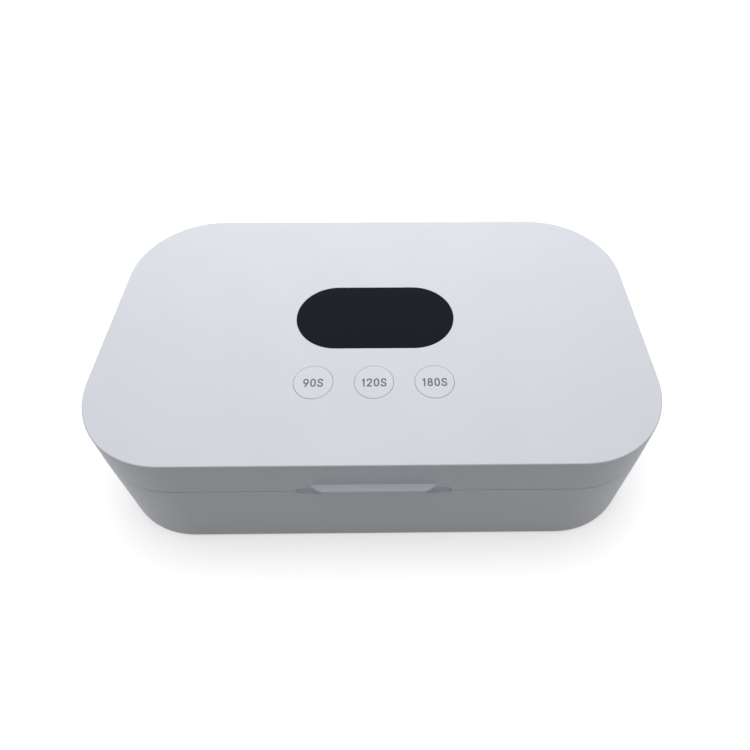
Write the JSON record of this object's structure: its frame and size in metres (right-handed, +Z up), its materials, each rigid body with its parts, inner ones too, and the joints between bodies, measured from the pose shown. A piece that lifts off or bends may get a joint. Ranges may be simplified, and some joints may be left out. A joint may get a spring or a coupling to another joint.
{
  "type": "uv nail tool sterilizer",
  "caption": "Box with a hinged lid that sterilises nail tools on a wire rack with ultraviolet lamps, with timer buttons and a display window on the lid.",
  "frame": {"origin": "on the plane that the feet rest on, under the middle of the casing; the lift tab's reach puts the middle of the bounding box 1.25 mm in front of it", "axes": "+Z up, front face with the lift tab towards -Y, +X to the right seen from the front"},
  "size_m": [0.22, 0.1325, 0.0601],
  "materials": {
    "white_abs": "fine matt moulded texture",
    "button_abs": "fine matt moulded texture, printed grey marking",
    "smoked_acrylic": "polished, near black",
    "display_plastic": "satin black face",
    "circuit_board": "solder mask",
    "component_plastic": "moulded epoxy",
    "switch_plastic": "moulded",
    "socket_steel": "drawn and plated",
    "lead_jacket": "satin jacket",
    "lamp_board": "white solder mask on aluminium",
    "lamp_quartz": "ceramic base, clear lens",
    "mirror_coat": "vacuum metallised",
    "zinc_screw": "zinc plated",
    "magnet_nickel": "nickel plated",
    "foot_rubber": "matt",
    "pin_steel": "ground",
    "rack_chrome": "bright plated"
  },
  "bodies": {
    "base": {"base_shell": "white_abs", "basin": "mirror_coat", "basin_screws": "zinc_screw", "sensor_magnet": "magnet_nickel", "rubber_feet": "foot_rubber", "hinge_pins": "pin_steel"},
    "lid": {"lid_shell": "white_abs", "display_window": "smoked_acrylic", "display_module": "display_plastic", "main_board": "circuit_board", "board_components": "component_plastic", "buzzer": "component_plastic", "switch_bodies": "component_plastic", "hall_sensor": "component_plastic", "usb_board": "circuit_board", "usb_socket": "socket_steel", "usb_lead": "lead_jacket", "lamp_leads": "lead_jacket", "lamp_strips": "lamp_board", "uv_lamps": "lamp_quartz", "reflector": "mirror_coat", "board_screws": "zinc_screw", "usb_board_screws": "zinc_screw", "strip_screws": "zinc_screw", "reflector_screws": "zinc_screw"},
    "press_90": {"button_90": "button_abs", "plunger_90": "switch_plastic"},
    "press_120": {"button_120": "button_abs", "plunger_120": "switch_plastic"},
    "press_180": {"button_180": "button_abs", "plunger_180": "switch_plastic"},
    "rack": {"tool_rack": "rack_chrome", "rack_handles": "rack_chrome"}
  },
  "joints": [
    {"name": "lid_hinge", "type": "hinge", "parent": "base", "child": "lid", "pos_m": [0, 0.0628, 0.04115], "axis": [-1, 0, 0], "range_deg": [0, 105]},
    {"name": "press_90", "type": "slide", "parent": "lid", "child": "press_90", "axis": [0, 0, -1], "range_m": [0, 0.0006], "stiffness_N_per_m": 1000, "springref_m": -0.001},
    {"name": "press_120", "type": "slide", "parent": "lid", "child": "press_120", "axis": [0, 0, -1], "range_m": [0, 0.0006], "stiffness_N_per_m": 1000, "springref_m": -0.001},
    {"name": "press_180", "type": "slide", "parent": "lid", "child": "press_180", "axis": [0, 0, -1], "range_m": [0, 0.0006], "stiffness_N_per_m": 1000, "springref_m": -0.001},
    {"name": "rack_lift", "type": "slide", "parent": "base", "child": "rack", "axis": [0, 0, 1], "range_m": [0, 0.012]}
  ]
}
